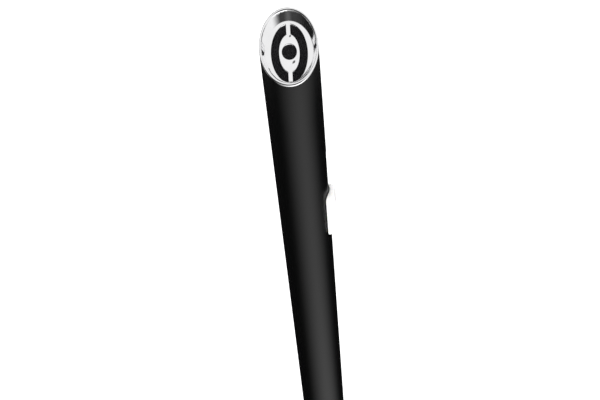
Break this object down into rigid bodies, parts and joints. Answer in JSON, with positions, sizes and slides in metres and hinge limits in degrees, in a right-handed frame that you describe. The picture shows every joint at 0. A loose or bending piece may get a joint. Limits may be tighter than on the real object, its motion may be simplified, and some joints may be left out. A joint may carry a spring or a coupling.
{
  "type": "lens cleaning pen",
  "caption": "Slim tapered lens cleaning pen: slanted chromed mouth, brush pushed out by a thumb slider, and a tilting cleaning tip under a pull-off tail cap.",
  "frame": {"origin": "centre of the flat tail end of the cap, the face that the pen stands on", "axes": "+Z along the pen from its tail to its mouth; the slanted mouth faces -Y and up; the thumb slider is on the +X side"},
  "size_m": [0.0156, 0.0141, 0.1522],
  "materials": {
    "barrel_black": "satin black",
    "bezel_chrome": "polished plating",
    "inner_grey": "moulded",
    "inner_black": "moulded",
    "spring_steel": "plain",
    "slider_white": "semi-gloss moulded",
    "bristle_black": "soft hair",
    "rubber_black": "matt",
    "pad_black": "carbon-charged nap",
    "sponge_dark": "open foam"
  },
  "bodies": {
    "barrel": {"barrel": "barrel_black", "mouth_bezel": "bezel_chrome", "track_sleeve": "inner_grey", "sleeve_end_stop": "inner_grey", "trim_ring": "bezel_chrome", "tip_holder": "inner_black", "tip_ball_stem": "spring_steel"},
    "brush": {"slider_button": "slider_white", "carriage": "inner_black", "friction_leaf": "spring_steel", "brush_head": "inner_black", "brush_head_pin": "spring_steel", "brush_tuft_core": "bristle_black", "brush_tuft_right": "bristle_black", "brush_tuft_left": "bristle_black"},
    "cap_ring": {"cap_friction_ring": "rubber_black"},
    "cap": {"cap_shell": "barrel_black", "cap_end_disc": "bezel_chrome", "cap_liner": "inner_black", "cap_sponge": "sponge_dark"},
    "cleaning_tip": {"tip_carrier": "rubber_black", "tip_pad": "pad_black"}
  },
  "joints": [
    {"name": "brush_slide", "type": "slide", "parent": "barrel", "child": "brush", "axis": [0, 0, 1], "range_m": [0, 0.014]},
    {"name": "cap_pull", "type": "slide", "parent": "barrel", "child": "cap_ring", "axis": [0, 0, -1], "range_m": [0, 0.025]},
    {"name": "cap_twist", "type": "hinge", "parent": "cap_ring", "child": "cap", "pos_m": [0, 0, 0.0159], "axis": [0, 0, 1], "continuous": true},
    {"name": "tip_tilt", "type": "hinge", "parent": "barrel", "child": "cleaning_tip", "pos_m": [0, 0, 0.0086], "axis": [1, 0, 0], "range_deg": [-10, 10]}
  ]
}
